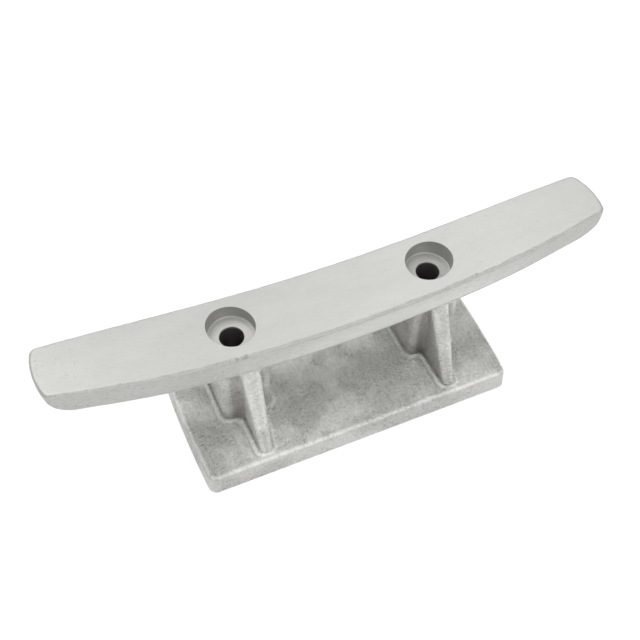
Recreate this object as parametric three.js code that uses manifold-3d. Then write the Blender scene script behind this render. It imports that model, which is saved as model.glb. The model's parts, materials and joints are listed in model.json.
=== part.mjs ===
// Horn cleat for a dock or deck: a drilled rectangular base, two ribbed pedestals and a crescent horn bar.
// The real cleat is one aluminium casting. It is built here as the members that a founder would name.
// Millimetres, +Z up, X along the horn. The origin is the middle of the base's underside.

import * as THREE from 'three';
import { mergeVertices } from 'three/addons/utils/BufferGeometryUtils.js';
import Module from 'manifold-3d';

const wasm = await Module();
wasm.setup();

// ---- Driving dimensions: base plate ----
const baseLength = 150.2; // over the middle of the bowed ends
const baseWidth = 80.9;
const baseThickness = 11.5;
const baseEndBow = 1.5; // how far the middle of an end stands out past its corners
const baseCornerRadius = 4;
const baseEdgeRadius = 1.8; // rounded upper rim
const baseDraft = 1; // how far the upper outline stands in from the underside's

// ---- Driving dimensions: horn bar ----
const hornLength = 256.6;
const hornHeight = 57.8; // top face over the underside of the base, at the middle
const hornTipRise = 14.9; // top face at the tips, over the middle
const hornRiseEarly = 0.24; // 0 is a plain parabola; more puts more of the rise near the middle
const hornThickness = 12.8;
const hornTipThickness = 12.2;
const hornMidWidth = 33.4;
const hornTipWidth = 23.9;
const hornTaperLate = 0.29; // share of the taper that comes only near the tips
const hornEndBow = 2;
const hornEndCornerRadius = 4.2; // seen from above
const hornNoseRadius = 9.5; // under each tip, seen from the side
const hornRimRadius = 1.2; // over each tip, seen from the side

// ---- Driving dimensions: pedestals ----
const pedestalSpacing = 91.2; // between the middles of the two pedestals
const bossLength = 22.8; // along the horn
const bossHornSetback = 2.45; // a boss's front and back stand in this far from the horn's side faces
const bossCornerRadius = 3.5;
const ribFootReach = 36; // from the horn's centre line to a rib's toe
const ribRootWidth = 8.8; // where a rib leaves its boss
const ribToeWidth = 5.3;
const ribToeRadius = 2.1;
const ribHornSetback = 0.3; // a rib's top edge stands in this far from the horn's side face

// ---- Driving dimensions: bolt holes ----
const boltSpacing = 93.2; // the holes are drilled a little outboard of the pedestals' middles
const boltHoleDiameter = 10.9; // a 3/8 in bolt with room to spare
const counterboreDiameter = 21.5;
const counterboreDepth = 7.4;

// ---- Clearances and fineness ----
const jointGap = 0.3; // between a pedestal's top and the underside of the horn that it carries
const bridgeOverhang = 1; // the bridge runs this far past each boss, and the arms start there
const cutAllowance = 5; // how far a cutting solid runs past what it cuts
const cornerSteps = 6;
const sideSteps = 16;
const circleSegments = 48;

// ---- Solids ----
function solidOf(geometry) {
  geometry.deleteAttribute('normal');
  geometry.deleteAttribute('uv');
  const merged = mergeVertices(geometry, 1e-4);
  return new wasm.Manifold(new wasm.Mesh({
    numProp: 3,
    vertProperties: new Float32Array(merged.attributes.position.array),
    triVerts: new Uint32Array(merged.index.array),
  }));
}

function meshOf(name, solid, color, roughness, metalness) {
  const cut = solid.getMesh();
  const geometry = new THREE.BufferGeometry();
  geometry.setAttribute('position', new THREE.BufferAttribute(cut.vertProperties, cut.numProp));
  geometry.setIndex(new THREE.BufferAttribute(cut.triVerts, 1));
  geometry.computeVertexNormals();
  const mesh = new THREE.Mesh(geometry, new THREE.MeshStandardMaterial({ color, roughness, metalness }));
  mesh.name = name;
  return mesh;
}

function box(lowX, highX, lowY, highY, lowZ, highZ) {
  const geometry = new THREE.BoxGeometry(highX - lowX, highY - lowY, highZ - lowZ);
  geometry.translate((lowX + highX) / 2, (lowY + highY) / 2, (lowZ + highZ) / 2);
  return solidOf(geometry);
}

function uprightCylinder(diameter, x, lowZ, highZ) {
  const geometry = new THREE.CylinderGeometry(diameter / 2, diameter / 2, highZ - lowZ, circleSegments);
  geometry.rotateX(Math.PI / 2);
  geometry.translate(x, 0, (lowZ + highZ) / 2);
  return solidOf(geometry);
}

// An outline in X and Y, raised from lowZ to highZ.
function raised(shape, lowZ, highZ) {
  const geometry = new THREE.ExtrudeGeometry(shape, { depth: highZ - lowZ, bevelEnabled: false });
  geometry.translate(0, 0, lowZ);
  return solidOf(geometry);
}

// An outline in X and Z, run across Y on both sides of the centre line.
function acrossY(shape, halfWidth) {
  const geometry = new THREE.ExtrudeGeometry(shape, { depth: 2 * halfWidth, bevelEnabled: false });
  geometry.rotateX(Math.PI / 2);
  geometry.translate(0, halfWidth, 0);
  return solidOf(geometry);
}

// ---- Outlines ----
// A bar seen from above, with bowed ends and rounded corners. halfWidthAt(x) gives its half width.
function bowedBarOutline(length, halfWidthAt, bow, cornerRadius) {
  const cornerX = length / 2 - cornerRadius;
  const cornerY = halfWidthAt(cornerX) - cornerRadius;
  const fullHalf = cornerY + cornerRadius;
  const quarter = [];
  const place = (x, y) => quarter.push(new THREE.Vector2(x - bow * (y / fullHalf) ** 2, y));
  for (let i = 0; i < cornerSteps; i += 1) {
    place(length / 2, cornerY * i / cornerSteps);
  }
  for (let i = 0; i <= cornerSteps; i += 1) {
    const angle = Math.PI / 2 * i / cornerSteps;
    place(cornerX + cornerRadius * Math.cos(angle), cornerY + cornerRadius * Math.sin(angle));
  }
  const sideStart = cornerX - bow;
  for (let i = 1; i <= sideSteps; i += 1) {
    const x = sideStart * (1 - i / sideSteps);
    quarter.push(new THREE.Vector2(x, halfWidthAt(x)));
  }
  const left = quarter.slice(0, -1).reverse().map((p) => new THREE.Vector2(-p.x, p.y));
  const upper = [...quarter, ...left];
  const lower = upper.slice(1, -1).reverse().map((p) => new THREE.Vector2(p.x, -p.y));
  return new THREE.Shape([...upper, ...lower]);
}

function roundedRectangle(length, width, radius) {
  const x = length / 2 - radius;
  const y = width / 2 - radius;
  const shape = new THREE.Shape();
  shape.absarc(x, y, radius, 0, Math.PI / 2);
  shape.absarc(-x, y, radius, Math.PI / 2, Math.PI);
  shape.absarc(-x, -y, radius, Math.PI, 1.5 * Math.PI);
  shape.absarc(x, -y, radius, 1.5 * Math.PI, 2 * Math.PI);
  return new THREE.Shape(shape.getPoints(cornerSteps));
}

// ---- The horn's curves ----
const hornHalf = hornLength / 2;

function hornTop(x) {
  const u2 = (x / hornHalf) ** 2;
  return hornHeight + hornTipRise * ((1 + hornRiseEarly) * u2 - hornRiseEarly * u2 * u2);
}

function hornUnderside(x) {
  const thinning = (hornThickness - hornTipThickness) * (x / hornHalf) ** 2;
  return hornTop(x) - (hornThickness - thinning);
}

function hornHalfWidth(x) {
  const u2 = (x / hornHalf) ** 2;
  const taper = (1 - hornTaperLate) * u2 + hornTaperLate * u2 * u2;
  return (hornMidWidth - (hornMidWidth - hornTipWidth) * taper) / 2;
}

const bossDepth = 2 * (hornHalfWidth(pedestalSpacing / 2) - bossHornSetback);

// How far a round of the given radius has pulled a face in, at a distance from the end of the bar.
function roundedPull(distance, radius) {
  const inside = Math.max(radius - distance, 0);
  return radius - Math.sqrt(radius * radius - inside * inside);
}

// Stations along the bar, close together at the tips where the profile turns.
function hornStations() {
  const count = 2 * (sideSteps + cornerSteps);
  const stations = [];
  for (let i = 0; i <= count; i += 1) {
    stations.push(-hornHalf * Math.cos(Math.PI * i / count));
  }
  return stations;
}

function hornSideOutline() {
  const stations = hornStations();
  const under = stations.map((x) => new THREE.Vector2(
    x, hornUnderside(x) + roundedPull(hornHalf - Math.abs(x), hornNoseRadius)));
  const over = stations.map((x) => new THREE.Vector2(
    x, hornTop(x) - roundedPull(hornHalf - Math.abs(x), hornRimRadius)));
  return new THREE.Shape([...under, ...over.reverse()]);
}

// ---- Bolt holes ----
const seatHeight = hornTop(boltSpacing / 2) - counterboreDepth;

function drilled(solid) {
  const mouth = seatHeight + counterboreDepth + cutAllowance;
  let result = solid;
  for (const side of [-1, 1]) {
    const x = side * boltSpacing / 2;
    result = result.subtract(uprightCylinder(boltHoleDiameter, x, -cutAllowance, mouth));
    result = result.subtract(uprightCylinder(counterboreDiameter, x, seatHeight, mouth));
  }
  return result;
}

// ---- Base plate ----
function basePlate() {
  const inset = baseEdgeRadius;
  const outline = bowedBarOutline(
    baseLength - 2 * inset, () => baseWidth / 2 - inset, baseEndBow, baseCornerRadius - inset);
  const geometry = new THREE.ExtrudeGeometry(outline, {
    depth: baseThickness,
    bevelThickness: baseEdgeRadius,
    bevelSize: baseEdgeRadius,
    bevelSegments: cornerSteps,
  });
  geometry.translate(0, 0, -baseEdgeRadius);
  const place = geometry.attributes.position;
  for (let i = 0; i < place.count; i += 1) {
    const pull = baseDraft * place.getZ(i) / baseThickness;
    place.setX(i, place.getX(i) * (1 - 2 * pull / baseLength));
    place.setY(i, place.getY(i) * (1 - 2 * pull / baseWidth));
  }
  const over = baseLength + cutAllowance;
  const plate = solidOf(geometry).intersect(box(-over, over, -over, over, 0, baseThickness + cutAllowance));
  return meshOf('base_plate', drilled(plate), 0xb9bab4, 0.62, 0.75);
}

// ---- Horn bar: a bridge over the pedestals and two free arms ----
const bridgeHalf = pedestalSpacing / 2 + bossLength / 2 + bridgeOverhang;

function hornBar() {
  const side = acrossY(hornSideOutline(), hornMidWidth);
  const outline = bowedBarOutline(hornLength, hornHalfWidth, hornEndBow, hornEndCornerRadius);
  const plan = raised(outline, 0, hornTop(hornHalf) + cutAllowance);
  return drilled(side.intersect(plan));
}

function hornPieces() {
  const bar = hornBar();
  const far = hornLength;
  const spans = {
    left_horn: [-far, -bridgeHalf],
    horn_bridge: [-bridgeHalf, bridgeHalf],
    right_horn: [bridgeHalf, far],
  };
  return Object.entries(spans).map(([name, [low, high]]) => {
    const piece = bar.intersect(box(low, high, -far, far, 0, far));
    return meshOf(name, piece, 0xcfd0ca, 0.45, 0.85);
  });
}

// ---- Pedestals: a boss round the bolt, with a rib in front of it and a rib behind ----
// Everything above the underside of the horn, less the joint gap.
function hornCutter() {
  const stations = hornStations();
  const under = stations.map((x) => new THREE.Vector2(x, hornUnderside(x) - jointGap));
  const ceiling = hornTop(hornHalf) + cutAllowance;
  const over = [new THREE.Vector2(hornHalf, ceiling), new THREE.Vector2(-hornHalf, ceiling)];
  return acrossY(new THREE.Shape([...under, ...over]), baseWidth);
}

function boss(middleX) {
  const outline = roundedRectangle(bossLength, bossDepth, bossCornerRadius);
  return raised(outline, baseThickness, hornHeight).translate([middleX, 0, 0]);
}

// The front rib seen from above: a wedge that narrows to a rounded toe.
function ribPlan(middleX) {
  const root = -bossDepth / 2;
  const toe = -ribFootReach + ribToeRadius;
  const shape = new THREE.Shape();
  shape.moveTo(middleX + ribRootWidth / 2, root);
  shape.lineTo(middleX - ribRootWidth / 2, root);
  shape.lineTo(middleX - ribToeWidth / 2, toe);
  shape.absarc(middleX - ribToeWidth / 2 + ribToeRadius, toe, ribToeRadius, Math.PI, 1.5 * Math.PI);
  shape.absarc(middleX + ribToeWidth / 2 - ribToeRadius, toe, ribToeRadius, 1.5 * Math.PI, 2 * Math.PI);
  return new THREE.Shape(shape.getPoints(cornerSteps));
}

// The front rib seen from the end: it leans out from the edge of the horn to its toe.
function ribLean(middleX) {
  const crown = hornUnderside(middleX);
  const crownY = -(hornHalfWidth(middleX) - ribHornSetback);
  const lean = (ribFootReach + crownY) / (crown - baseThickness);
  const shape = new THREE.Shape();
  shape.moveTo(0, baseThickness);
  shape.lineTo(0, crown + cutAllowance);
  shape.lineTo(crownY + lean * cutAllowance, crown + cutAllowance);
  shape.lineTo(-ribFootReach, baseThickness);
  const geometry = new THREE.ExtrudeGeometry(shape, { depth: 2 * ribRootWidth, bevelEnabled: false });
  geometry.applyMatrix4(new THREE.Matrix4().makeBasis(
    new THREE.Vector3(0, 1, 0), new THREE.Vector3(0, 0, 1), new THREE.Vector3(1, 0, 0)));
  geometry.translate(middleX - ribRootWidth, 0, 0);
  return solidOf(geometry);
}

function frontRib(middleX) {
  return raised(ribPlan(middleX), baseThickness, hornHeight).intersect(ribLean(middleX));
}

function pedestalPieces(side, sideName) {
  const middleX = side * pedestalSpacing / 2;
  const cutter = hornCutter();
  const rib = frontRib(middleX).subtract(cutter);
  const pieces = {
    boss: drilled(boss(middleX).subtract(cutter)),
    front_rib: rib,
    back_rib: rib.mirror([0, 1, 0]),
  };
  return Object.entries(pieces).map(
    ([name, solid]) => meshOf(`${sideName}_${name}`, solid, 0xb4b5af, 0.7, 0.7));
}

// ---- Assembly ----
const cleat = new THREE.Group();
cleat.add(basePlate());
cleat.add(...pedestalPieces(-1, 'left'));
cleat.add(...pedestalPieces(1, 'right'));
cleat.add(...hornPieces());

export default cleat;
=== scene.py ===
# %% [markdown]
# # A cast dock cleat
# A dock cleat holds a boat's rope. This one is a single aluminium sand casting: a flat base, two
# ribbed pedestals and a curved horn bar over them. The bar's faces are ground on a belt after
# casting, and two bolt holes are drilled through everything and counterbored.
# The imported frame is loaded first, because every place and size comes from it.

# %% Load the fixed frame
import json
import math
import bmesh
import bpy
import numpy as np
from mathutils import Matrix, Vector


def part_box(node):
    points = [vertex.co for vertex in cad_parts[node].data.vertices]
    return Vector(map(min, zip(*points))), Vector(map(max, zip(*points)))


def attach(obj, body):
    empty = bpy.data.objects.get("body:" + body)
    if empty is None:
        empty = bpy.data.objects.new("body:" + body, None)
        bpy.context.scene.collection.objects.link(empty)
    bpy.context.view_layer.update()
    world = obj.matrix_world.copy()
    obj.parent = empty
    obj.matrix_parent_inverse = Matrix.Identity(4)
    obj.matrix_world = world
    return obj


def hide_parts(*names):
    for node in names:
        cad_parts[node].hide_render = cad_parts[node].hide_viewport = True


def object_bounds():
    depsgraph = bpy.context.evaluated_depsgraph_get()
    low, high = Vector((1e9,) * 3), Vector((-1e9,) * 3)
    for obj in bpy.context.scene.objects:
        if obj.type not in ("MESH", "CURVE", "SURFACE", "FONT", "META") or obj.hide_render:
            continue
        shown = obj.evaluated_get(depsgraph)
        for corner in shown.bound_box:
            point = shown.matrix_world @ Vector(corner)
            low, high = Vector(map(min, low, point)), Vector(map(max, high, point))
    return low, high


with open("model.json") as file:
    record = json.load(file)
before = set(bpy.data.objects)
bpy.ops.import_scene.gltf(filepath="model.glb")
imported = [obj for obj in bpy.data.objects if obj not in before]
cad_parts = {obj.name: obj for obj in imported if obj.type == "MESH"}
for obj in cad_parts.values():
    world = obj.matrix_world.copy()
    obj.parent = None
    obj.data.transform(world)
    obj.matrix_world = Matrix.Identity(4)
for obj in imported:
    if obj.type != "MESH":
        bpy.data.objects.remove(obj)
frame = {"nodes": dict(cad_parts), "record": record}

MM = 0.001


def in_mm(*values):
    """Lengths in rounded millimetres, for printing."""
    return [round(float(v) / MM, 2) for v in values]


cad_low, cad_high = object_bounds()
print("frame box in mm:", in_mm(*cad_low, *cad_high))

# %% [markdown]
# ## Sizes from the frame
# The frame's nodes give the bar's ends, the base's edges and the pedestals' middles. The record's
# mounts give the bolts' places and the height of their seats. Measuring here, and not typing the
# numbers again, keeps the looks tied to the model.

# %% Measure the frame
def middle_span(node, reach):
    """Lowest and highest z of a node's vertices close to x = 0."""
    heights = [v.co.z for v in frame["nodes"][node].data.vertices if abs(v.co.x) < reach]
    return min(heights), max(heights)


base_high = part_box("base_plate")[1]
boss_low, boss_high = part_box("right_boss")
mounts = {mount["name"]: Vector(mount["pos_m"]) for mount in frame["record"]["mounts"]}
BASE_HALF_X, BASE_HALF_Y, BASE_TOP = base_high
BAR_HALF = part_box("right_horn")[1].x
BAR_MID_UNDER, BAR_MID_TOP = middle_span("horn_bridge", 3 * MM)
BAR_MID_HALF_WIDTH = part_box("horn_bridge")[1].y
BOLT_X = mounts["right_bolt_seat"].x
SEAT_Z = mounts["right_bolt_seat"].z
PEDESTAL_X = (boss_low.x + boss_high.x) / 2
print("bar half length, and its middle from and to:", in_mm(BAR_HALF, BAR_MID_UNDER, BAR_MID_TOP))
print("bolts, their seats and the pedestals at:", in_mm(BOLT_X, SEAT_Z, PEDESTAL_X))

# %% [markdown]
# ## The bar's curves
# The horn bar sags in the middle and sweeps up to its tips, and it narrows towards them. Three
# short formulas say this: the height of the top, the height of the underside and half the width.
# A formula is better than a list of stations, because any vertex can ask it for its own height.

# %% Curves of the horn bar
TIP_RISE = 14.9 * MM
EARLY_RISE = 0.24
TIP_HALF_WIDTH = 11.95 * MM
LATE_TAPER = 0.29
TIP_THINNING = 0.6 * MM


def bar_top(x):
    """Height of the bar's top face, with EARLY_RISE of the sweep moved in from the tips."""
    u = x / BAR_HALF
    return BAR_MID_TOP + TIP_RISE * ((1 + EARLY_RISE) * u**2 - EARLY_RISE * u**4)


def bar_under(x):
    """Height of the bar's underside: the bar thins a little towards its tips."""
    return bar_top(x) - (BAR_MID_TOP - BAR_MID_UNDER) + TIP_THINNING * (x / BAR_HALF) ** 2


def bar_half_width(x):
    """Half the bar's width, with LATE_TAPER of the narrowing kept for the last stretch."""
    u = x / BAR_HALF
    loss = BAR_MID_HALF_WIDTH - TIP_HALF_WIDTH
    return BAR_MID_HALF_WIDTH - loss * ((1 - LATE_TAPER) * u**2 + LATE_TAPER * u**4)


print("bar top at the tips:", in_mm(bar_top(BAR_HALF)))

# %% [markdown]
# ## Outlines that can shrink
# Both the bar and the base are long shapes with bowed ends and rounded corners. Each outline is
# kept as core points with outward directions: the edge at any inset is the core pushed out by the
# corner radius less the inset. That gives rounded rims without any clean-up of crossing lines.

# %% Outline helper
SIDE_SAMPLES = 2600
END_SAMPLES = 260


def unit(rows):
    """Each row scaled to length 1."""
    return rows / np.linalg.norm(rows, axis=1, keepdims=True)


def long_outline(side, end_x, end_bow, radius, spacing):
    """Rows of core x, core y, direction x, direction y, once round the outline.
    side(x) is half the width at x. The ends reach end_x and fall back by end_bow at the corners."""
    width = side(end_x)
    x = np.linspace(0, end_x, SIDE_SAMPLES)
    y = np.linspace(0, width, END_SAMPLES)
    side_edge = np.stack([x, side(x)], 1)
    side_out = unit(np.stack([-np.gradient(side_edge[:, 1], x), np.ones_like(x)], 1))
    end_edge = np.stack([end_x - end_bow * (y / width) ** 2, y], 1)
    end_out = unit(np.stack([np.ones_like(y), 2 * end_bow * y / width**2], 1))
    side_core = side_edge - side_out * radius
    end_core = end_edge - end_out * radius
    gaps = np.linalg.norm(side_core[:, None] - end_core[None], axis=2)
    i, j = np.unravel_index(gaps.argmin(), gaps.shape)
    side_pick = np.linspace(0, i, max(2, round(side_core[i, 0] / spacing))).round().astype(int)
    end_pick = np.linspace(j, 0, max(2, round(end_core[j, 1] / spacing))).round().astype(int)
    steps = max(5, round(1.6 * radius / spacing))
    start, stop = (math.atan2(v[1], v[0]) for v in (side_out[i], end_out[j]))
    turn = np.linspace(start, stop, steps + 2)[1:-1]
    corner_out = np.stack([np.cos(turn), np.sin(turn)], 1)
    corner_core = np.repeat(side_core[i][None], steps, 0)
    quarter = np.concatenate([
        np.hstack([side_core[side_pick], side_out[side_pick]]),
        np.hstack([corner_core, corner_out]),
        np.hstack([end_core[end_pick], end_out[end_pick]]),
    ])
    half = np.concatenate([quarter, quarter[::-1][1:] * (1, -1, 1, -1)])
    return np.concatenate([half, half[::-1][1:-1] * (-1, 1, -1, 1)])


def inset_edge(outline, radius, inset):
    """The outline's x and y, moved inwards by inset, which may differ from point to point."""
    return outline[:, :2] + outline[:, 2:] * (radius - np.reshape(inset, (-1, 1)))


# %% [markdown]
# ## Skins from rings
# A stack of rings with the same number of points makes a clean skin of four-sided faces. The first
# and last rings fall onto a line or a point, so merging close vertices closes the skin. Each ring
# also carries a mark that materials read later. It is 0 on plain metal and about 1 on the bar's
# sides. Above that it paints highlights on the bar's edge and sides, rims, rib noses and beads, and
# below 0 it paints shade into corners, wall feet and the base's sides, and dirt into the bar's nicks.

# %% Skin helper
MERGE_WITHIN = 0.004 * MM
DISSOLVE_WITHIN = 0.001 * MM


def ring_at(xy, z):
    """A ring of points from its plan and its height, which is one number or one for each point."""
    return np.column_stack([xy, np.broadcast_to(z, len(xy))])


def skin(name, stack, tube=False):
    """A closed mesh through the stack's rings, whose last ring joins the first where tube is true.
    The stack holds pairs of a ring and its mark, which is one number or one for each point."""
    rings = [ring for ring, mark in stack]
    count = len(rings[0])
    verts = np.concatenate(rings)
    here = np.arange(count)
    there = np.roll(here, -1)
    faces = []
    for k in range(len(rings) - (0 if tube else 1)):
        a, b = k * count, (k + 1) % len(rings) * count
        faces.append(np.stack([a + here, a + there, b + there, b + here], 1))
    mesh = bpy.data.meshes.new(name)
    mesh.from_pydata(verts.tolist(), [], np.concatenate(faces).tolist())
    attribute = mesh.attributes.new("mark", "FLOAT", "POINT")
    values = np.concatenate([np.broadcast_to(mark, count) for ring, mark in stack]).astype(np.float32)
    attribute.data.foreach_set("value", values)
    work = bmesh.new()
    work.from_mesh(mesh)
    bmesh.ops.remove_doubles(work, verts=work.verts, dist=MERGE_WITHIN)
    bmesh.ops.dissolve_degenerate(work, edges=work.edges, dist=DISSOLVE_WITHIN)
    bmesh.ops.recalc_face_normals(work, faces=work.faces)
    open_edges = sum(1 for e in work.edges if len(e.link_faces) != 2)
    work.to_mesh(mesh)
    work.free()
    piece = bpy.data.objects.new(name, mesh)
    bpy.context.scene.collection.objects.link(piece)
    print(name, len(mesh.vertices), "vertices,", open_edges, "open edges")
    return piece


# %% [markdown]
# ## Unevenness
# No hand-finished casting is truly flat. Smooth random lumps, made from a seeded grid of numbers
# blended between its corners, push the vertices along their normals by a few hundredths of a
# millimetre or more. Real shape like this also changes outlines and edges, which a texture can't do.

# %% Lumps and roughening helpers
GRID = 48
GRID_SHIFT = 1000


def lumps(points, size, seed):
    """Smooth random values from about -1 to 1 at the points, with lumps about size wide."""
    grid = np.random.default_rng(seed).uniform(-1, 1, (GRID, GRID, GRID))
    scaled = np.asarray(points, float) / np.asarray(size, float) + GRID_SHIFT
    cell = np.floor(scaled).astype(int)
    part = scaled - cell
    part = part * part * (3 - 2 * part)
    total = np.zeros(len(scaled))
    for corner in np.ndindex(2, 2, 2):
        share = np.prod(np.where(corner, part, 1 - part), axis=1)
        i, j, k = ((cell + corner) % GRID).T
        total += share * grid[i, j, k]
    return total


def vertex_rows(mesh, kind):
    """The mesh's vertex places, or its vertex normals, as rows of x, y and z."""
    rows = np.zeros(len(mesh.vertices) * 3, np.float32)
    source = mesh.vertices if kind == "co" else mesh.vertex_normals
    source.foreach_get("co" if kind == "co" else "vector", rows)
    return rows.reshape(-1, 3).astype(float)


def push_out(piece, heights):
    """Moves each vertex along its normal by heights(points) metres."""
    points, normals = vertex_rows(piece.data, "co"), vertex_rows(piece.data, "normal")
    moved = points + normals * heights(points)[:, None]
    piece.data.vertices.foreach_set("co", moved.astype(np.float32).ravel())
    piece.data.update()


# %% [markdown]
# ## The horn bar
# The bar is a skin of rings: over the flat top, round the broken top edge, down the side, round the
# lower edge and in under the bar. Under each tip the lower corner is ground away in a big round
# nose. The top edge was broken by hand on the belt, so its radius wanders along the bar, and it is
# larger along the front and round the ends.

# %% Outline and edge of the bar
BAR_CORNER = 3.5 * MM
BAR_END_BOW = 2 * MM
BAR_EDGE = 1.1 * MM
BAR_LOWER_EDGE = 0.6 * MM
NOSE_RADIUS = 9.5 * MM
BAR_POINT_GAP = 0.55 * MM

bar_outline = long_outline(bar_half_width, BAR_HALF, BAR_END_BOW, BAR_CORNER, BAR_POINT_GAP)
bar_line = inset_edge(bar_outline, BAR_CORNER, 0.0)
round_the_bar = np.column_stack([bar_line, np.zeros(len(bar_line))])
front_side = np.clip(-bar_line[:, 1] / (6 * MM), 0, 1)
near_ends = np.clip((abs(bar_line[:, 0]) - BAR_HALF + 5 * MM) / (3 * MM), 0, 1)
rolled = 0.4 + 0.25 * lumps(round_the_bar, 2.2 * MM, 12) + 0.12 * lumps(round_the_bar, 1.2 * MM, 13)
wander = 0.15 * lumps(round_the_bar, 7 * MM, 11) + np.maximum(front_side * rolled, 0.5 * near_ends)
bar_edge = BAR_EDGE * (1 + wander)
print("bar edge radius from and to:", in_mm(bar_edge.min(), bar_edge.max()))

# %% [markdown]
# The rings of the top face shrink towards a line along the bar's middle, its spine, so the face has
# long narrow quads and no crossing edges. The mark is 0 on the top, about 1 on the sides, and more
# where light is painted into the colour: a painted highlight along the broken top edge, and a
# painted pool of light on the middle of the bar's sides, strongest low down.

# %% Rings of the bar
FACE_STEPS = 16
EDGE_STEPS = 5
SIDE_STEPS = 9
LEAST_SIDE = 0.1 * MM
EDGE_HIGHLIGHT = 0.55
PAINTED_LIGHT_X = 18 * MM
PAINTED_LIGHT_REACH = 62 * MM


def nose_lift(x, y):
    """How far the underside is ground up near the tips."""
    end = BAR_HALF - BAR_END_BOW * (y / TIP_HALF_WIDTH) ** 2
    into = np.clip(NOSE_RADIUS - np.clip(end - abs(x), 0, None), 0, NOSE_RADIUS)
    return NOSE_RADIUS - np.sqrt(NOSE_RADIUS**2 - into**2)


def spine(line, tip):
    """The point of the middle line that each outline point shrinks towards."""
    return np.column_stack([np.clip(line[:, 0], -tip, tip), np.zeros(len(line))])


def blend_rows(a, b, t):
    """Rows a share t of the way from a to b."""
    return a + (b - a) * t


def quarter_turn(step, steps):
    """The angle after some of the equal steps of a quarter circle."""
    return math.pi / 2 * step / steps


def bar_stack():
    """Rings and marks over the top face, round its edge, down the side and in underneath."""
    bar_spine = spine(bar_line, BAR_HALF - TIP_HALF_WIDTH)
    stack = []
    for step in range(FACE_STEPS):
        share = (1 - step / FACE_STEPS) ** 1.4
        xy = blend_rows(inset_edge(bar_outline, BAR_CORNER, bar_edge), bar_spine, share)
        stack.append((ring_at(xy, bar_top(xy[:, 0])), 0))
    for step in range(EDGE_STEPS + 1):
        turn = quarter_turn(step, EDGE_STEPS)
        xy = inset_edge(bar_outline, BAR_CORNER, bar_edge * (1 - math.sin(turn)))
        z = bar_top(xy[:, 0]) - bar_edge * (1 - math.cos(turn))
        # Painted highlight: the mark rises across the middle of the broken top edge, which lightens it.
        stack.append((ring_at(xy, z), step / EDGE_STEPS + EDGE_HIGHLIGHT * math.sin(2 * turn)))
    side_high = bar_top(bar_line[:, 0]) - bar_edge
    side_low = bar_under(bar_line[:, 0]) + nose_lift(*bar_line.T) + BAR_LOWER_EDGE
    side_low = np.minimum(side_low, side_high - LEAST_SIDE)
    # Painted light: a pool of light painted on the middle of the bar's sides, strongest low down.
    painted_side_light = np.exp(-(((bar_line[:, 0] - PAINTED_LIGHT_X) / PAINTED_LIGHT_REACH) ** 2))
    for step in range(1, SIDE_STEPS):
        share = step / SIDE_STEPS
        mark = 1 + (0.45 + 0.5 * share) * painted_side_light
        stack.append((ring_at(bar_line, blend_rows(side_high, side_low, share)), mark))
    for step in range(EDGE_STEPS + 1):
        turn = quarter_turn(step, EDGE_STEPS)
        xy = inset_edge(bar_outline, BAR_CORNER, BAR_LOWER_EDGE * (1 - math.cos(turn)))
        stack.append((ring_at(xy, side_low - BAR_LOWER_EDGE * math.sin(turn)), 1))
    lower_line = inset_edge(bar_outline, BAR_CORNER, BAR_LOWER_EDGE)
    lower_z = side_low - BAR_LOWER_EDGE
    for step in range(1, FACE_STEPS + 1):
        share = (step / FACE_STEPS) ** 1.6
        xy = blend_rows(lower_line, bar_spine, share)
        z = bar_under(xy[:, 0]) + nose_lift(*xy.T)
        stack.append((ring_at(xy, np.maximum(z, lower_z * (1 - share) ** 8)), 1))
    return stack


horn = skin("horn", bar_stack())

# %% [markdown]
# Hand grinding leaves a bar a little uneven. Each arm is fuller in front than at the back, the right
# tip is slightly out of square, with its front corner further out than its back corner, and small
# nicks are left along the front edge.

# %% Hand-ground shape of the bar
TIP_SKEW = 0.075
TIP_LOSS = 0.15 * MM
SKEW_START = 96 * MM
FRONT_FULLNESS = 0.9 * MM
FULLEST_X = 82 * MM
FULL_REACH = 36 * MM
NICK_DEPTH = 2.5 * MM

# In millimetres: the bar's mean loss, and each dent's x, y, radius and depth.
MEAN_LOSS = 0.1
DENTS = [
    (-45.8, -16.2, 0.75, 0.5), (-47.5, -16.6, 0.5, 0.35), (-49.8, -16.2, 0.55, 0.4),
    (-53.0, -16.5, 0.35, 0.3), (-58.5, -16.1, 0.35, 0.25), (61.5, -15.6, 0.5, 0.4),
]


def bar_unevenness(points):
    """Metres that each point of the bar is pushed out: soft waves, fine grain on the sides, dents."""
    x, y, z = points.T
    soft = 0.03 * lumps(points, (26 * MM, 9 * MM, 9 * MM), 21)
    rough = np.clip((bar_top(x) - z) / (0.5 * MM), 0, 1)
    fine = (0.012 + 0.05 * rough) * lumps(points, (3.5 * MM, 1.5 * MM, 1.5 * MM), 22)
    height = soft + fine - MEAN_LOSS
    for dent_x, dent_y, radius, depth in DENTS:
        away = np.sqrt(((x - dent_x * MM) / 1.4) ** 2 + (y - dent_y * MM) ** 2 + (z - bar_top(x)) ** 2)
        height -= depth * np.exp(-((away / (radius * MM)) ** 2))
    return height * MM


def grind_shape(points):
    """Skews the right tip and fills out the front of both arms, in place."""
    near_tip = np.clip((points[:, 0] - SKEW_START) / (BAR_HALF - SKEW_START), 0, 1) ** 1.5
    points[:, 0] -= near_tip * (TIP_SKEW * points[:, 1] + TIP_LOSS)
    on_arm = np.exp(-(((np.abs(points[:, 0]) - FULLEST_X) / FULL_REACH) ** 2))
    points[:, 1] -= FRONT_FULLNESS * on_arm * np.clip(-points[:, 1] / (8 * MM), 0, 1)


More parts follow.
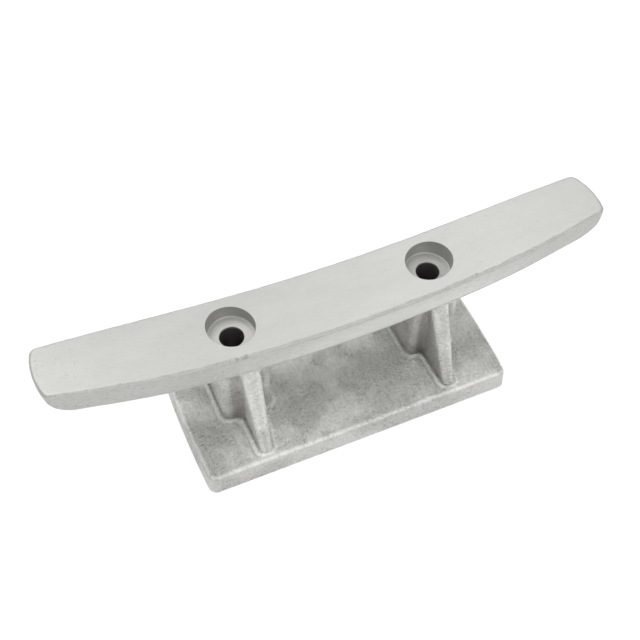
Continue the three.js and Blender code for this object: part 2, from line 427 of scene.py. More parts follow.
def mark_nicks(mesh, points):
    """Sets the mark to -1 in the dents, where dirt stays."""
    marks = np.zeros(len(points), np.float32)
    mesh.attributes["mark"].data.foreach_get("value", marks)
    near_top = points[:, 2] > bar_top(points[:, 0]) - NICK_DEPTH
    for dent_x, dent_y, radius, _ in DENTS:
        away = np.hypot(points[:, 0] / MM - dent_x, (points[:, 1] / MM - dent_y) * 0.7)
        marks[(away < 1.1 * radius) & near_top] = -1
    mesh.attributes["mark"].data.foreach_set("value", marks)


push_out(horn, bar_unevenness)
points = vertex_rows(horn.data, "co")
grind_shape(points)
horn.data.vertices.foreach_set("co", points.astype(np.float32).ravel())
mark_nicks(horn.data, points)
print("horn box in mm:", in_mm(*points.min(0), *points.max(0)))

# %% [markdown]
# ## Bolt holes
# Each hole is one cutter turned like a lathe part: a wide counterbore for the bolt's head, a small
# corner radius on its floor, and the bore below. Its top ring follows the curve of the bar, so the
# broken edge is the same width all round, which a plain cone could not do on a curved face. The
# counterbore was a second cut, and sits a third of a millimetre behind the bore's own middle.

# %% Hole cutters
COUNTERBORE = 10.52 * MM
COUNTERBORE_SHIFT = 0.35 * MM
BORE = 5.3 * MM
BROKEN_EDGE = 0.22 * MM
FLOOR_CORNER = 0.45 * MM
FLOOR_CORNER_STEPS = 4
BORE_CHAMFER = 0.15 * MM
CUTTER_ABOVE = 2 * MM
CUTTER_BELOW = 3 * MM
HOLE_STEPS = 96
hole_turn = np.linspace(0, 2 * math.pi, HOLE_STEPS, endpoint=False)
hole_circle = np.column_stack([np.cos(hole_turn), np.sin(hole_turn)])


def bore_ring(x, radius, z):
    """A level ring round the bore's middle."""
    return ring_at(hole_circle * radius + (x, 0), z)


def counterbore_ring(x, radius, z, on_bar=False):
    """A ring round the counterbore's own middle. On the bar, z is measured from its curved top."""
    xy = hole_circle * radius + (x, COUNTERBORE_SHIFT)
    return ring_at(xy, bar_top(xy[:, 0]) + z if on_bar else z)


def hole_cutter(name, x, bolt_seat):
    """A closed cutter at x. Where bolt_seat is true it has the counterbore, and else only the bore."""
    rings = []
    if bolt_seat:
        rings.append(counterbore_ring(x, COUNTERBORE + CUTTER_ABOVE, CUTTER_ABOVE - BROKEN_EDGE, on_bar=True))
        rings.append(counterbore_ring(x, COUNTERBORE, -BROKEN_EDGE, on_bar=True))
        for step in range(FLOOR_CORNER_STEPS + 1):
            turn = quarter_turn(step, FLOOR_CORNER_STEPS)
            inward = FLOOR_CORNER * (1 - math.cos(turn))
            above_seat = FLOOR_CORNER * (1 - math.sin(turn))
            rings.append(counterbore_ring(x, COUNTERBORE - inward, SEAT_Z + above_seat))
        rings.append(bore_ring(x, BORE + BORE_CHAMFER, SEAT_Z))
        rings.append(bore_ring(x, BORE, SEAT_Z - BORE_CHAMFER))
    else:
        rings.append(bore_ring(x, BORE, SEAT_Z))
    rings.append(bore_ring(x, BORE, -CUTTER_BELOW))
    top_middle, low_middle = (rings[end].mean(0)[None].repeat(HOLE_STEPS, 0) for end in (0, -1))
    return skin(name, [(ring, 0) for ring in (top_middle, *rings, low_middle)])


def cut(piece, cutter):
    """Takes the cutter's volume out of the piece for good, with the cutter's material on the new faces."""
    change = piece.modifiers.new("cut", "BOOLEAN")
    change.operation = "DIFFERENCE"
    change.solver = "EXACT"
    change.material_mode = "TRANSFER"
    change.object = cutter
    settled = piece.evaluated_get(bpy.context.evaluated_depsgraph_get())
    made = bpy.data.meshes.new_from_object(settled)
    piece.modifiers.clear()
    piece.data = made
    bpy.data.objects.remove(cutter)
    print("cut", piece.name, "now", len(made.polygons), "faces")


# %% [markdown]
# ## The pedestals
# A pedestal is an upright block round the bolt hole with a tapering rib at the front and another at
# the back. The pattern maker left a soft fillet in every inner corner so that the sand would come
# away. It is skinned from plan outlines, one above another: rib nose, rib side, fillet, block face,
# corner and block side, then the same again mirrored three times.

# %% Rounded path helper
def rounded_path(corners, radii, run_steps, arc_steps):
    """Points from the first corner to the last, with each inner corner rounded by its radius."""
    corners = [np.array(c, float) for c in corners]
    made, start = [], corners[0]
    for k in range(1, len(corners) - 1):
        into = unit((corners[k] - corners[k - 1])[None])[0]
        away = unit((corners[k + 1] - corners[k])[None])[0]
        swing = math.atan2(into[0] * away[1] - into[1] * away[0], into @ away)
        reach = radii[k - 1] * math.tan(abs(swing) / 2)
        arc_start = corners[k] - into * reach
        made += [start + (arc_start - start) * t for t in np.linspace(0, 1, run_steps[k - 1], endpoint=False)]
        normal = np.array([-into[1], into[0]]) * math.copysign(1, swing)
        centre = arc_start + normal * radii[k - 1]
        for t in np.linspace(0, swing, arc_steps, endpoint=False):
            arm = arc_start - centre
            spun = (arm[0] * math.cos(t) - arm[1] * math.sin(t), arm[0] * math.sin(t) + arm[1] * math.cos(t))
            made.append(centre + spun)
        start = corners[k] + away * reach
    made += [start + (corners[-1] - start) * t for t in np.linspace(0, 1, run_steps[-1] + 1)]
    return np.array(made)


# %% [markdown]
# The ribs lean: their noses reach far out at the foot and end close to the block at the head. So the
# plan is worked out again for every height. A small skew moves each rib sideways, as the ribs of a
# casting seldom stand perfectly true.

# %% Plan of a pedestal at one height
BLOCK_HALF_X = 11.4 * MM
BLOCK_HALF_Y = 13.8 * MM
BLOCK_CORNER = 3.2 * MM
RIB_ROOT = 4.4 * MM
RIB_TOE = 2.65 * MM
RIB_FOOT_REACH = 36 * MM
RIB_HEAD_REACH = 15.9 * MM
INNER_FILLET = 2.8 * MM
LEAST_FILLET = 0.9 * MM
NOSE_ROUND = 2.1 * MM
NOSE_ROUND_GAIN = 0.4 * MM
PLAN_RUNS = (5, 18, 7, 10)
PLAN_ARC = 8
CROWN_Z = bar_under(PEDESTAL_X)


def height_share(z):
    """0 at the base's top and 1 under the bar."""
    return (z - BASE_TOP) / (CROWN_Z - BASE_TOP)


def rib_reach(z):
    """How far the rib's nose stands from the middle at height z."""
    return RIB_FOOT_REACH + (RIB_HEAD_REACH - RIB_FOOT_REACH) * height_share(z)


def pedestal_plan(z, flare_x=0.0, flare_block=0.0, flare_toe=0.0, skew=(0, 0)):
    """x and y once round the pedestal at height z, pushed out by the flares.
    skew is how far the ribs stand off the middle, at their heads and at their toes."""
    reach = rib_reach(z)
    slope = (RIB_ROOT - RIB_TOE) / (RIB_FOOT_REACH - BLOCK_HALF_Y)
    nose = RIB_ROOT - slope * (reach - BLOCK_HALF_Y) + flare_x
    root = RIB_ROOT + flare_x
    face = BLOCK_HALF_Y + flare_block
    tip = reach + flare_toe
    side = BLOCK_HALF_X + flare_x
    length = math.hypot(tip - face, root - nose)
    full_round = NOSE_ROUND + NOSE_ROUND_GAIN * height_share(z) + 0.8 * flare_x
    nose_round = min(full_round, 0.6 * length, 0.9 * nose)
    fillet = min(max(INNER_FILLET - 0.3 * flare_x, LEAST_FILLET), 0.36 * length)
    corner = min(BLOCK_CORNER + flare_x, side - root - 0.95 * fillet)
    corners = [(0, -tip), (nose, -tip), (root, -face), (side, -face), (side, 0)]
    radii = [nose_round, fillet, corner]
    quarter = rounded_path(corners, radii, PLAN_RUNS, PLAN_ARC)
    half = np.concatenate([quarter, quarter[::-1][1:] * (1, -1)])
    plan = np.concatenate([half, half[::-1][1:-1] * (-1, 1)])
    out = np.abs(plan[:, 1])
    along = (out - RIB_HEAD_REACH) / (RIB_FOOT_REACH - RIB_HEAD_REACH)
    plan[:, 0] += np.clip((out - face) / (2 * MM), 0, 1) * blend_rows(skew[0], skew[1], along)
    return plan


def plan_mark(place, spread, amount):
    """A mark along the outline, strongest at one point of each quarter."""
    steps = np.arange(sum(PLAN_RUNS) + 3 * PLAN_ARC + 1)
    quarter = amount * np.exp(-(((steps - place) / spread) ** 2))
    half = np.concatenate([quarter, quarter[::-1][1:]])
    return np.concatenate([half, half[::-1][1:-1]])


# Painted light along the outline: a painted highlight on each rib's nose and painted shade in each inner
# corner.
NOSE_HIGHLIGHT = plan_mark(PLAN_RUNS[0] + PLAN_ARC / 2, 4, 0.5)
INNER_SHADE = plan_mark(sum(PLAN_RUNS[:2]) + 1.7 * PLAN_ARC, 8, -0.55)
print("pedestal outline has", len(pedestal_plan(BASE_TOP)), "points")

# %% [markdown]
# At the foot the wall steps out into a soft bead, like a wax fillet pressed round a pattern. The
# bead is full on the left of each pedestal and nearly lost on its right, so every ring point gets
# its own share of it. The rings run from the head down, and each ring's height is stretched so that
# the top one follows the bar's underside.

# %% Rings of a pedestal
HEAD_FILLET = 1.3 * MM
SUNK = 0.7 * MM
WALL_STEPS = 46
BORE_STEPS = 4
HEAD_FILLET_TURNS = np.radians(np.linspace(80, 0, 6))
# Painted shade at the wall's foot, and a painted highlight on the bead.
WALL_FOOT_SHADE = -0.2
BEAD_HIGHLIGHT = 0.85
BEAD_STEPS = 12

# The foot's measures are kept in millimetres.
BEAD_START = 0.55
BEAD_WIDTH = 3.1
BEAD_HEIGHT = 1.3
FILLET_HEIGHT = 1.5


def foot_profile():
    """Millimetres of flare, height with the bead, height without it, and mark, going outwards."""
    # The wall's end and the groove get painted shade; the bead gets a painted highlight.
    wall_end = (0, FILLET_HEIGHT, FILLET_HEIGHT, WALL_FOOT_SHADE)
    made = [wall_end, (0.15, 1.0, 1.1, -0.35), (0.4, 0.85, 0.75, -0.3)]
    for step in range(BEAD_STEPS):
        share = step / (BEAD_STEPS - 1)
        last = step == BEAD_STEPS - 1
        crest = -0.15 if last else BEAD_HEIGHT * math.sin(math.pi * (0.24 + 0.76 * share)) ** 0.65
        plain = 0.6 * (1 - share) ** 3 - 0.4 * share
        flare = BEAD_START + (BEAD_WIDTH - BEAD_START) * share
        made.append((flare, crest, plain, BEAD_HIGHLIGHT * math.sin(math.pi * share) ** 2))
    made.append((BEAD_WIDTH + 0.1, -0.8, -0.9, 0))
    return made


def bead_share(plan, side, wall_bead):
    """1 where the bead is full and near 0 where it is lost."""
    to_the_left = np.clip(0.5 - side * plan[:, 0] / (6 * MM), 0.1, 1)
    by_the_block = np.clip((BLOCK_HALF_Y + 1 * MM - abs(plan[:, 1])) / (2 * MM), 0, 1)
    return to_the_left * blend_rows(1, wall_bead, by_the_block)


def bore_circle(ring):
    """The bore's edge in line with each point of a ring, seen from the bolt's axis."""
    arm = ring[:, :2] - (BOLT_X - PEDESTAL_X, 0)
    return unit(arm) * BORE + (BOLT_X - PEDESTAL_X, 0)


def pedestal_stack(side, skew, wall_bead):
    """Rings and marks down the outside of a pedestal and back up its bore, drawn as the right one."""
    stack = []

    def add(z, flare, mark, foot=None):
        plan = pedestal_plan(z, flare, 1.1 * flare, 0.62 * flare, skew)
        stretch = (bar_under(plan[:, 0] + PEDESTAL_X) - BASE_TOP) / (CROWN_Z - BASE_TOP)
        height = z - BASE_TOP
        if foot is not None:
            plain, crest = foot
            height = MM * blend_rows(plain, crest, bead_share(plan, side, wall_bead))
        # Painted shade on the side that faces the middle under the bar: full on the right pedestal, none on
        # the left.
        painted_wall_shade = (wall_bead - 1) * 0.5 * np.clip(-side * plan[:, 0] / (4 * MM), 0, 1)
        # Painted highlight on the rib noses and painted shade in the inner corners, weaker where the ring
        # flares out.
        painted_corner_shading = (INNER_SHADE + NOSE_HIGHLIGHT) * (1 if flare == 0 else 0.4)
        stack.append((ring_at(plan, BASE_TOP + height * stretch), mark + painted_wall_shade + painted_corner_shading))

    add(CROWN_Z + SUNK, HEAD_FILLET, 0)
    for turn in HEAD_FILLET_TURNS:
        drop = HEAD_FILLET * (1 - math.sin(turn))
        add(CROWN_Z - drop, HEAD_FILLET * (1 - math.cos(turn)), 0)
    wall_top, wall_foot = CROWN_Z - HEAD_FILLET, BASE_TOP + FILLET_HEIGHT * MM
    for step in range(1, WALL_STEPS):
        # Painted shade, growing down the wall towards its foot.
        mark = WALL_FOOT_SHADE * (step / WALL_STEPS) ** 4
        add(wall_top + (wall_foot - wall_top) * step / WALL_STEPS, 0, mark)
    for flare, crest, plain, mark in foot_profile():
        add(BASE_TOP, flare * MM, mark, (plain, crest))
    head, foot = stack[0][0], stack[-1][0]
    for share in np.linspace(1, 0, BORE_STEPS):
        stack.append((ring_at(bore_circle(head), blend_rows(head[:, 2], foot[:, 2], share)), 0))
    return stack


def make_pedestal(name, side, skew, wall_bead, seed):
    """A pedestal on the left (side -1) or the right (side 1), with its cast unevenness."""
    stack = pedestal_stack(side, skew, wall_bead)
    placed = [((ring + (PEDESTAL_X, 0, 0)) * (side, 1, 1), mark) for ring, mark in stack]
    piece = skin(name, placed, tube=True)

    def cast_skin(points):
        soft = 0.16 * lumps(points, 9 * MM, seed) + 0.1 * lumps(points, 3.5 * MM, seed + 1)
        low = np.clip((BASE_TOP + 4 * MM - points[:, 2]) / (4 * MM), 0, 1)
        sand = (0.06 + 0.12 * low) * lumps(points, 1.4 * MM, seed + 2)
        from_bolt = np.hypot(points[:, 0] - side * BOLT_X, points[:, 1])
        return (soft + sand) * MM * (from_bolt > BORE + 0.5 * MM)

    push_out(piece, cast_skin)
    return piece


pedestals = [
    make_pedestal("left_pedestal", -1, (-1.4 * MM, -0.1 * MM), 1.0, 31),
    make_pedestal("right_pedestal", 1, (0.1 * MM, -1.0 * MM), 0.35, 41),
]

# %% [markdown]
# ## The base
# The base is a thick plate with slightly bowed ends and a small draft on its sides, so that it left
# the sand cleanly. Its top rim is rounded, and the rim's radius wanders a little.

# %% Rings of the base
BASE_CORNER = 4 * MM
BASE_BOW = 1.5 * MM
BASE_RIM = 1.7 * MM
BASE_DRAFT = 0.9 * MM
BASE_LOWER_EDGE = 0.5 * MM
BASE_FACE_STEPS = 52
BASE_POINT_GAP = 0.7 * MM
# Painted shade on the base's sides, and a painted highlight along its rim.
BASE_SIDE_SHADE = -0.25
BASE_RIM_HIGHLIGHT = 0.75


def base_side(x):
    """Half the base's width, the same all along its straight sides."""
    return BASE_HALF_Y + 0 * x


base_outline = long_outline(base_side, BASE_HALF_X, BASE_BOW, BASE_CORNER, BASE_POINT_GAP)
base_line = inset_edge(base_outline, BASE_CORNER, 0.0)
base_round = np.column_stack([base_line, np.zeros(len(base_line))])
base_rim = BASE_RIM * (1 + 0.2 * lumps(base_round, 8 * MM, 51) + 0.12 * lumps(base_round, 2.5 * MM, 52))


def base_stack():
    """Rings and marks over the top face, round its rim, down the side and in underneath."""
    base_spine = spine(base_line, BASE_HALF_X - BASE_HALF_Y)
    stack = []
    for step in range(BASE_FACE_STEPS):
        share = 1 - step / BASE_FACE_STEPS
        xy = blend_rows(inset_edge(base_outline, BASE_CORNER, BASE_DRAFT + base_rim), base_spine, share**1.3)
        stack.append((ring_at(xy, BASE_TOP), 0))
    for step in range(EDGE_STEPS + 1):
        turn = quarter_turn(step, EDGE_STEPS)
        xy = inset_edge(base_outline, BASE_CORNER, BASE_DRAFT + base_rim * (1 - math.sin(turn)))
        z = BASE_TOP - base_rim * (1 - math.cos(turn))
        # Painted highlight across the middle of the rim, fading into painted shade down the side.
        mark = BASE_SIDE_SHADE * step / EDGE_STEPS + BASE_RIM_HIGHLIGHT * math.sin(2 * turn)
        stack.append((ring_at(xy, z), mark))
    for step in range(1, SIDE_STEPS + 1):
        share = step / SIDE_STEPS
        z = blend_rows(BASE_TOP - base_rim, BASE_LOWER_EDGE, share)
        xy = inset_edge(base_outline, BASE_CORNER, BASE_DRAFT * (1 - share))
        stack.append((ring_at(xy, z), BASE_SIDE_SHADE))
    lower_line = inset_edge(base_outline, BASE_CORNER, BASE_LOWER_EDGE)
    stack.append((ring_at(lower_line, 0.0), BASE_SIDE_SHADE))
    for share in (0.02, 0.3, 1.0):
        stack.append((ring_at(blend_rows(lower_line, base_spine, share), 0.0), 0))
    return stack


base = skin("base", base_stack())

# %% [markdown]
# The top face gets soft waves, sand grain, a band of small hollows just inside the rim and a few
# stray lumps where metal ran into the sand. The sides are calmer, and the underside stays flat so
# that the cleat stands true.

# %% Cast surface of the base
BAND_FROM_EDGE = 5 * MM
BAND_REACH = 2.2 * MM

# In millimetres: the top's mean loss, the sides' waves, and each lump's x, y, radius and height.
TOP_LOSS = 0.12
SIDE_WAVE = 0.03
LUMPS = [
    (-36.5, -15.8, 0.9, 0.6), (-34.2, -16.8, 0.8, 0.6), (-32.4, -15.6, 0.6, 0.4), (-37.5, -33.7, 0.6, 0.4),
    (70.4, -4.5, 0.9, 0.5), (70.4, -31, 0.6, 0.4), (35.2, -17.4, 1.3, 1.0), (19, -18.6, 0.8, 0.3),
]


def base_unevenness(points):
    """Metres that each point of the base is pushed out."""
    x, y, z = points.T
    on_top = np.clip((z - BASE_TOP + 2.2 * MM) / (1.5 * MM), 0, 1)
    from_edge = BASE_HALF_Y - np.abs(y)
    band = np.exp(-(((from_edge - BAND_FROM_EDGE) / BAND_REACH) ** 2))
    soft = 0.09 * lumps(points, 14 * MM, 61) + 0.08 * lumps(points, 4 * MM, 62)
    sand = 0.07 * lumps(points, 1.6 * MM, 63)
    hollows = -0.4 * band * np.clip(lumps(points, (2.4 * MM, 1.3 * MM, 9), 64), 0, 1)
    on_side = (1 - on_top) * SIDE_WAVE * (lumps(points, 6 * MM, 65) - 1.2)
    height = on_top * (soft + sand + hollows) + on_side - TOP_LOSS * on_top
    for lump_x, lump_y, radius, rise in LUMPS:
        away = np.hypot(x - lump_x * MM, y - lump_y * MM) / (radius * MM)
        height += on_top * rise * np.exp(-(away**2))
    return height * MM * (z > 0.2 * MM)


push_out(base, base_unevenness)
points = vertex_rows(base.data, "co")
print("base box in mm:", in_mm(*points.min(0), *points.max(0)))

# %% [markdown]
# ## Finishes
# All of it is bare aluminium, so the finishes differ in how the surface was left. Metal shows its
# surface mostly through its reflections: the same shader, with its roughness and fine relief
# changed, gives sandy casting, belt-ground faces and turned counterbores. All textures use the
# object's own metres, so a scratch keeps its width wherever it runs.

# %% Node helpers
def new_finish(name, metallic, roughness):
    material = bpy.data.materials.new(name)
    material.use_nodes = True
    shader = material.node_tree.nodes["Principled BSDF"]
    shader.inputs["Metallic"].default_value = metallic
    shader.inputs["Roughness"].default_value = roughness
    return material, shader


def node(material, kind, values=None, **settings):
    made = material.node_tree.nodes.new(kind)
    for key, value in settings.items():
        setattr(made, key, value)
    for key, value in (values or {}).items():
        made.inputs[key].default_value = value
    return made


def link(material, start, end):
    material.node_tree.links.new(start, end)


def stretched_noise(material, stretch, detail=3.0, rough=0.55):
    """Noise whose grains are about stretch millimetres long on each axis. Gives its output socket."""
    place = node(material, "ShaderNodeTexCoord")
    scale = tuple(1 / (s * MM) for s in stretch)
    mapping = node(material, "ShaderNodeMapping", {"Scale": scale})
    noise = node(material, "ShaderNodeTexNoise", {"Scale": 1.0, "Detail": detail, "Roughness": rough})
    link(material, place.outputs["Object"], mapping.inputs["Vector"])
    link(material, mapping.outputs["Vector"], noise.inputs["Vector"])
    return noise.outputs["Fac"]


def levels(material, source, low, high, out_low, out_high):
    """Maps source from low..high to out_low..out_high, held at the ends."""
    span = node(material, "ShaderNodeMapRange", {1: low, 2: high, 3: out_low, 4: out_high})
    link(material, source, span.inputs[0])
    return span.outputs[0]


def combine(material, kind, a, b):
    """Joins two number sockets, or a socket and a number, by a sum, product or other operation."""
    made = node(material, "ShaderNodeMath", operation=kind)
    for slot_index, value in enumerate((a, b)):
        if isinstance(value, (int, float)):
            made.inputs[slot_index].default_value = value
        else:
            link(material, value, made.inputs[slot_index])
    return made.outputs[0]


def weighted(material, *terms):
    """The sum of sockets, each with its own weight."""
    total = None
    for source, weight in terms:
        part = source if weight == 1 else product(material, source, weight)
        total = part if total is None else combine(material, "ADD", total, part)
    return total


def difference(material, a, b):
    return combine(material, "SUBTRACT", a, b)


def product(material, a, b):
    return combine(material, "MULTIPLY", a, b)


def tint(material, amount, dark, light):
    """A colour between dark and light by the amount socket."""
    mix = node(material, "ShaderNodeMix", data_type="RGBA")
    mix.inputs[6].default_value = (*dark, 1)
    mix.inputs[7].default_value = (*light, 1)
    link(material, amount, mix.inputs[0])
    return mix.outputs[2]


def relief(material, shader, height, depth, below=None):
    """Bump of the height socket, depth in millimetres, over an earlier bump if one is given."""
    bump = node(material, "ShaderNodeBump", {"Distance": depth * MM, "Strength": 1.0})
    link(material, height, bump.inputs["Height"])
    if below is not None:
        link(material, below, bump.inputs["Normal"])
    link(material, bump.outputs["Normal"], shader.inputs["Normal"])
    return bump.outputs["Normal"]


def mark_socket(material):
    return node(material, "ShaderNodeAttribute", attribute_name="mark").outputs["Fac"]


# %% [markdown]
# ### Ground bar
# The belt runs along the bar, so the scratches on its top are long and fine. The sides are coarser,
# and darker partly by painted shade; the mark tells them apart: 0 on the top, 1 on the sides, more
# than 1 where a highlight is painted on the broken edge and a pool of light on the middle of the
# sides, and less than 0 in the nicks, which hold dirt.

# %% Ground finish
GROUND_DARK = (0.36, 0.36, 0.345)
GROUND_LIGHT = (0.72, 0.72, 0.69)


def ground_finish(name):
    material, shader = new_finish(name, 0.5, 0.45)
    scratches = stretched_noise(material, (9, 0.45, 0.45), 2.0)
    drift = stretched_noise(material, (30, 8, 8), 2.0)
    grain = stretched_noise(material, (2.2, 1.0, 0.8), 4.0, 0.65)
    pores = levels(material, stretched_noise(material, (1.4, 1.0, 1.0), 1.0), 0.68, 0.75, 0, 1)
    mark = mark_socket(material)
    side = levels(material, mark, 0, 1, 0, 1)
    # Painted light: where the mark is above 1 the colour lightens, for the painted edge highlight and the
    # painted pool of light on the sides.
    painted_light = levels(material, mark, 1, 2, 0, 1)
    nick = levels(material, mark, -1, 0, 1, 0)
    fine = weighted(material, (scratches, 0.45), (drift, 0.35), (grain, 0.2))
    fine = levels(material, fine, 0.36, 0.64, 0.44, 0.6)
    coarse = levels(material, weighted(material, (grain, 0.8), (drift, 0.2)), 0.36, 0.64, 0.22, 0.5)
    # The sides' darker colour comes partly from the coarser grind and partly from painted shade.
    on_side = product(material, side, difference(material, coarse, fine))
    side_pores = product(material, pores, side)
    shade = weighted(material, (fine, 1), (on_side, 1), (painted_light, 0.95), (side_pores, -0.4), (nick, -0.6))
    link(material, tint(material, shade, GROUND_DARK, GROUND_LIGHT), shader.inputs["Base Color"])
    link(material, levels(material, scratches, 0.3, 0.7, 0.4, 0.52), shader.inputs["Roughness"])
    rough = levels(material, side, 0, 1, 0.12, 1)
    below = relief(material, shader, product(material, grain, rough), 0.25)
    below = relief(material, shader, scratches, 0.03, below)
    relief(material, shader, product(material, pores, -1.0), 0.06, below)
    return material


ground_metal = ground_finish("belt_ground_aluminium")

# %% [markdown]
# ### Sand-cast skin
# Molten metal takes the print of the sand grains: a dull, knobbly skin, with small pits where grains
# came loose. The mark paints light and shade into the colour: painted shade where it is below zero,
# in inner corners, at the walls' feet, on the right pedestal's inner wall and on the base's sides,
# and painted highlights where it is above, on rims, rib noses and beads. The base and the pedestals
# differ only in how their streaks run.

# %% Cast finish
CAST_DARK = (0.53, 0.53, 0.51)
CAST_LIGHT = (0.95, 0.95, 0.915)
# The dark grey that the painted shade mixes towards.
SHADE_COLOUR = (0.24, 0.22, 0.2)


def cast_finish(name, streaks, streak_depth):
    """The cast skin. streaks is how long its streaks are on each axis, in millimetres."""
    material, shader = new_finish(name, 0.4, 0.5)
    sand = stretched_noise(material, (1.2, 1.2, 1.2), 3.0, 0.75)
    coarse = stretched_noise(material, (5, 5, 5), 3.0)
    run = stretched_noise(material, streaks, 2.0)
    patches = levels(material, stretched_noise(material, (16, 16, 16), 1.0), 0.42, 0.58, 0.35, 1)
    pits = levels(material, stretched_noise(material, (1.5, 1.5, 1.5), 2.0, 0.7), 0.6, 0.68, 0, 1)
    pits = product(material, pits, patches)
    shade = weighted(material, (sand, 0.58), (coarse, 0.1), (run, 0.32))
    shade = levels(material, shade, 0.36, 0.64, 0.22, 0.78)
    mark = mark_socket(material)
    # Painted highlight where the mark is above 0, painted shade where it is below.
    painted_highlight = levels(material, mark, 0, 1, 0, 1)
    painted_shade = levels(material, mark, -1, 0, 0.85, 0)
    shade = weighted(material, (shade, 1), (pits, -0.25), (painted_highlight, 0.55))
    metal = tint(material, shade, CAST_DARK, CAST_LIGHT)
    shadowed = node(material, "ShaderNodeMix", data_type="RGBA")
    shadowed.inputs[7].default_value = (*SHADE_COLOUR, 1)
    link(material, metal, shadowed.inputs[6])
    link(material, painted_shade, shadowed.inputs[0])
    link(material, shadowed.outputs[2], shader.inputs["Base Color"])
    link(material, levels(material, sand, 0.3, 0.7, 0.46, 0.6), shader.inputs["Roughness"])
    calm = levels(material, painted_highlight, 0, 1, 1, 0.6)
    rough = product(material, patches, calm)
    below = relief(material, shader, run, streak_depth)
    below = relief(material, shader, product(material, sand, rough), 1.9, below)
    relief(material, shader, product(material, pits, -1.0), 0.35, below)
    return material


base_metal = cast_finish("sand_cast_base", streaks=(1.2, 5, 2), streak_depth=0.35)
pedestal_metal = cast_finish("sand_cast_pedestal", streaks=(3, 1.1, 0.8), streak_depth=0.9)

# %% [markdown]
# ### Turned holes
# A counterbore's floor keeps the fine rings of the cutter. The rings are a sine of the distance from
# the hole's middle, and dropping the sign of x first lets one material serve both holes. A painted
# highlight lightens a thin ring at the corner of the floor, and painted shade darkens the bores.

# %% Turned finish
TURNED_DARK = (0.17, 0.165, 0.155)
TURNED_LIGHT = (0.62, 0.62, 0.595)
TOOL_STEP = 0.95 * MM


def turned_finish(name):
    material, shader = new_finish(name, 0.45, 0.4)
    place = node(material, "ShaderNodeTexCoord")
    parts = node(material, "ShaderNodeSeparateXYZ")
    link(material, place.outputs["Object"], parts.inputs[0])
    across = difference(material, combine(material, "ABSOLUTE", parts.outputs[0], 0.0), BOLT_X)
    behind = difference(material, parts.outputs[1], COUNTERBORE_SHIFT)
    across_squared = combine(material, "POWER", across, 2.0)
    behind_squared = combine(material, "POWER", behind, 2.0)
    square = combine(material, "ADD", across_squared, behind_squared)
    radius = combine(material, "SQRT", square, 0.0)
    rings = combine(material, "SINE", product(material, radius, 2 * math.pi / TOOL_STEP), 0.0)
    # Painted highlight: a thin light ring at the corner of the counterbore's floor.
    corner = levels(material, radius, COUNTERBORE - 0.7 * MM, COUNTERBORE - 0.4 * MM, 0, 1)
    seat = levels(material, parts.outputs[2], SEAT_Z + 0.3 * MM, SEAT_Z + 0.7 * MM, 1, 0)
    corner = product(material, corner, seat)
    grain = stretched_noise(material, (1.2, 1.2, 1.2), 2.0)
    shade = weighted(material, (rings, 0.05), (grain, 0.3))
    # Painted shade: the colour darkens down the bore below the seat.
    painted_bore_light = levels(material, parts.outputs[2], SEAT_Z - 1.5 * MM, SEAT_Z - 0.1 * MM, 0, 1)
    shade = weighted(material, (levels(material, shade, 0.05, 0.25, 0.6, 0.72), 1), (corner, 0.8))
    shade = product(material, shade, painted_bore_light)
    link(material, tint(material, shade, TURNED_DARK, TURNED_LIGHT), shader.inputs["Base Color"])
    link(material, levels(material, grain, 0.3, 0.7, 0.34, 0.46), shader.inputs["Roughness"])
    relief(material, shader, rings, 0.015)
    return material


turned_metal = turned_finish("turned_aluminium")
print("finishes:", ground_metal.name, base_metal.name, pedestal_metal.name, turned_metal.name)

# %% [markdown]
# ## Drill and assemble
# The holes are cut last, after the unevenness, so the drilled edges stay crisp and round as a
# drill leaves them. Each piece then rides on the frame's one body and stands for its nodes.

SHARP_ANGLE = math.radians(38)


def drill(piece, bolt_seat):
    """Cuts both bolt holes through the piece, with their counterbores where bolt_seat is true."""
    for x in (-BOLT_X, BOLT_X):
        cutter = hole_cutter("cutter", x, bolt_seat)
        cutter.data.materials.append(turned_metal)
        cut(piece, cutter)


def line_bore(piece):
    """Gives the turned finish to the faces of the bore that was built into the piece."""
    piece.data.materials.append(turned_metal)
    for face in piece.data.polygons:
        if math.hypot(abs(face.center.x) - BOLT_X, face.center.y) < BORE + 0.05 * MM:
            face.material_index = 1


def dress(piece, slot_name, *nodes):
    """Smooths the piece and ties it to the frame."""
    piece.data.shade_smooth()
    piece.data.set_sharp_from_angle(angle=SHARP_ANGLE)
    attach(piece, "root")
    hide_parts(*nodes)


horn.data.materials.append(ground_metal)
base.data.materials.append(base_metal)
drill(horn, bolt_seat=True)
drill(base, bolt_seat=False)
dress(horn, "ground_face", "left_horn", "horn_bridge", "right_horn")
dress(base, "sand_cast", "base_plate")
for piece, side in zip(pedestals, ("left", "right")):
    piece.data.materials.append(pedestal_metal)
    line_bore(piece)
    dress(piece, "sand_cast", f"{side}_boss", f"{side}_front_rib", f"{side}_back_rib")

# %% [markdown]
# ## Floor, light and camera
# The cleat stands on a plain white table in soft light: a pale sky all round, one broad lamp above
# and a little behind it, which leaves the base under the bar in a soft shadow, and a broad fill lamp
# in front, which keeps the front faces and the ribs from going flat and dark.

# %% Floor
FLOOR_REACH = 6.0
FLOOR_DROP = 0.2 * MM


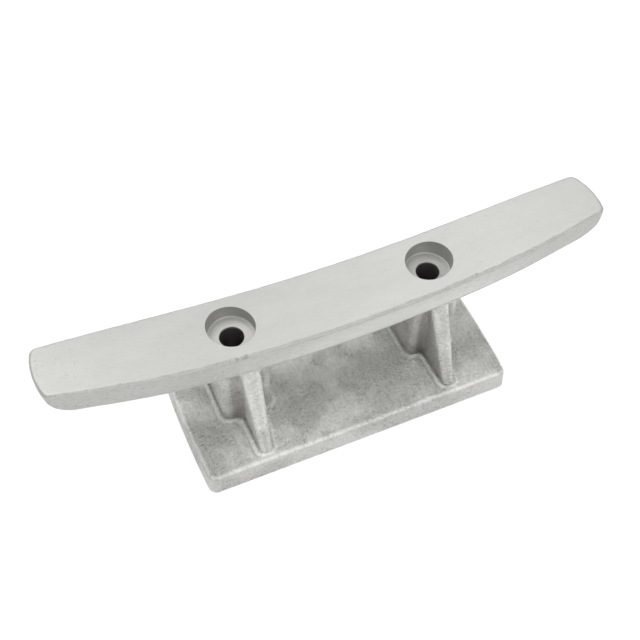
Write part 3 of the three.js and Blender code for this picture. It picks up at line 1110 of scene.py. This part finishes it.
def make_floor():
    """A wide white table that glows softly, so that shadows on it stay faint."""
    material, shader = new_finish("white_table", 0.0, 0.9)
    shader.inputs["Base Color"].default_value = (0.2, 0.2, 0.2, 1)
    shader.inputs["Emission Color"].default_value = (1, 1, 1, 1)
    shader.inputs["Emission Strength"].default_value = 0.88
    shader.inputs["Specular IOR Level"].default_value = 0.1
    mesh = bpy.data.meshes.new("floor")
    corners = [(x * FLOOR_REACH, y * FLOOR_REACH, 0) for x, y in ((-1, -1), (1, -1), (1, 1), (-1, 1))]
    mesh.from_pydata(corners, [], [(0, 1, 2, 3)])
    mesh.materials.append(material)
    floor = bpy.data.objects.new("floor", mesh)
    floor.location.z = -FLOOR_DROP
    bpy.context.scene.collection.objects.link(floor)


make_floor()

# %% [markdown]
# A lamp is placed in metres and turned to face its target. A wide disk gives soft shadows, because
# each point on the cleat sees a different part of it.

# %% Sky and lamps
SKY_STRENGTH = 0.55
LAMP_AIM = Vector((0, 0, 0.03))


def make_lamp(name, place, width, power):
    """A round lamp at place, facing the cleat."""
    light = bpy.data.lights.new(name, "AREA")
    light.shape = "DISK"
    light.size = width
    light.energy = power
    lamp = bpy.data.objects.new(name, light)
    lamp.location = place
    lamp.rotation_mode = "QUATERNION"
    lamp.rotation_quaternion = (LAMP_AIM - Vector(place)).to_track_quat("-Z", "Y")
    bpy.context.scene.collection.objects.link(lamp)


sky = bpy.data.worlds.new("sky")
sky.use_nodes = True
sky.node_tree.nodes["Background"].inputs["Color"].default_value = (1, 1, 1, 1)
sky.node_tree.nodes["Background"].inputs["Strength"].default_value = SKY_STRENGTH
bpy.context.scene.world = sky
make_lamp("key", place=(-0.05, 0.32, 1.0), width=0.8, power=4.3)
make_lamp("fill", place=(0.2, -0.95, 0.75), width=1.0, power=3.2)
bpy.context.scene.view_settings.view_transform = "Standard"

# %% [markdown]
# The camera looks down on the cleat from its front left. Its direction is kept as two angles and a
# small roll, which is easier to read and to adjust than a matrix.

# %% Camera
CAMERA_TURN = math.radians(-25.3)
CAMERA_RISE = math.radians(53.96)
CAMERA_ROLL = math.radians(2.21)
CAMERA_REACH = 0.4339
CAMERA_AIM_SHIFT = Vector((-5.6 * MM, 0, 7.1 * MM))
LENS = 55.31
SENSOR_WIDTH = 36
aim = (cad_low + cad_high) / 2 + CAMERA_AIM_SHIFT
flat = math.cos(CAMERA_RISE)
back = Vector((math.sin(CAMERA_TURN) * flat, -math.cos(CAMERA_TURN) * flat, math.sin(CAMERA_RISE)))
right = Vector((0, 0, 1)).cross(back).normalized()
up = back.cross(right)
rolled_right = math.cos(CAMERA_ROLL) * right + math.sin(CAMERA_ROLL) * up
rolled_up = back.cross(rolled_right)
camera = bpy.data.objects.new("camera", bpy.data.cameras.new("camera"))
camera.data.lens = LENS
camera.data.sensor_width = SENSOR_WIDTH
camera.data.clip_start = 0.01
turned = Matrix((rolled_right, rolled_up, back)).transposed().to_4x4()
camera.matrix_world = Matrix.Translation(aim + back * CAMERA_REACH) @ turned
bpy.context.scene.collection.objects.link(camera)
bpy.context.scene.camera = camera
print("camera at", [round(v, 4) for v in camera.matrix_world.translation])
